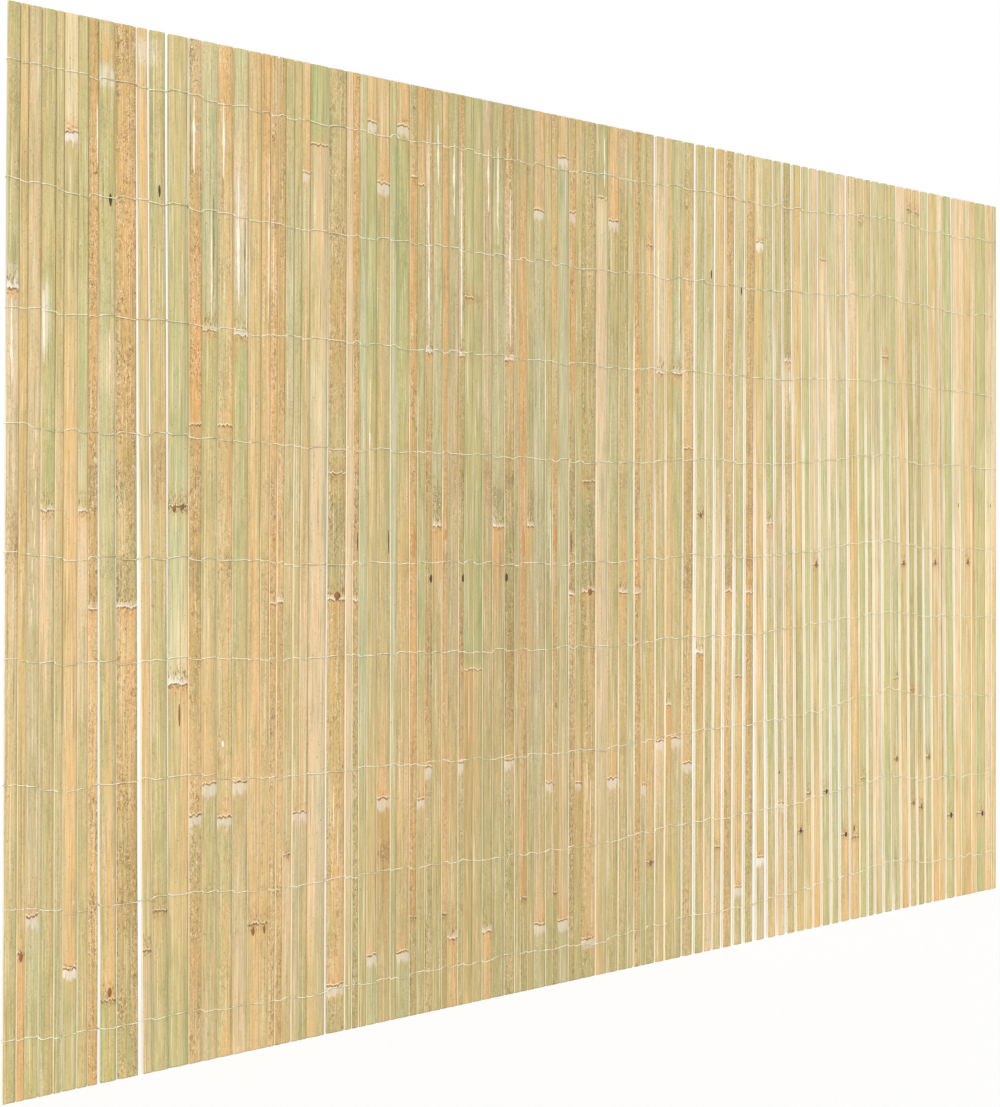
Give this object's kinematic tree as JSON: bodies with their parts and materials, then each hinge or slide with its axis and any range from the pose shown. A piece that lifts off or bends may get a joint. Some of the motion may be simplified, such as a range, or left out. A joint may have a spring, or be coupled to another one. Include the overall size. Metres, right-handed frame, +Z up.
{
  "type": "bamboo fence panel",
  "caption": "Flat screen of upright split bamboo slats, laced side by side by level rows of thin wire and cut straight along the top and the foot.",
  "frame": {"origin": "under the middle of the panel, at the level of the slats' feet", "axes": "+Z up along the slats, +X along the wire rows from the first slat to the last, -Y out of the slats' skin side"},
  "size_m": [1.5012, 0.007, 1.0001],
  "materials": {
    "bamboo": "weathered split bamboo, half gloss on the skin side",
    "wire": "dull galvanised"
  },
  "bodies": {
    "root": {"slat_pair_01": "bamboo", "slat_pair_02": "bamboo", "slat_pair_03": "bamboo", "slat_pair_04": "bamboo", "slat_pair_05": "bamboo", "slat_pair_06": "bamboo", "slat_pair_07": "bamboo", "slat_pair_08": "bamboo", "slat_pair_09": "bamboo", "slat_pair_10": "bamboo", "slat_pair_11": "bamboo", "slat_pair_12": "bamboo", "slat_pair_13": "bamboo", "slat_pair_14": "bamboo", "slat_pair_15": "bamboo", "slat_pair_16": "bamboo", "slat_pair_17": "bamboo", "slat_pair_18": "bamboo", "slat_pair_19": "bamboo", "slat_pair_20": "bamboo", "slat_pair_21": "bamboo", "slat_pair_22": "bamboo", "slat_pair_23": "bamboo", "slat_pair_24": "bamboo", "slat_pair_25": "bamboo", "slat_pair_26": "bamboo", "slat_pair_27": "bamboo", "slat_pair_28": "bamboo", "slat_pair_29": "bamboo", "slat_pair_30": "bamboo", "slat_pair_31": "bamboo", "slat_pair_32": "bamboo", "slat_pair_33": "bamboo", "slat_pair_34": "bamboo", "slat_pair_35": "bamboo", "slat_pair_36": "bamboo", "slat_pair_37": "bamboo", "slat_pair_38": "bamboo", "slat_pair_39": "bamboo", "slat_pair_40": "bamboo", "slat_pair_41": "bamboo", "slat_pair_42": "bamboo", "slat_pair_43": "bamboo", "slat_pair_44": "bamboo", "slat_pair_45": "bamboo", "slat_pair_46": "bamboo", "slat_pair_47": "bamboo", "slat_pair_48": "bamboo", "slat_pair_49": "bamboo", "slat_pair_50": "bamboo", "slat_pair_51": "bamboo", "lacing_wire_1": "wire", "lacing_wire_2": "wire", "lacing_wire_3": "wire", "lacing_wire_4": "wire", "lacing_wire_5": "wire", "lacing_wire_6": "wire", "lacing_wire_7": "wire", "lacing_wire_8": "wire", "lacing_wire_9": "wire"}
  },
  "joints": []
}
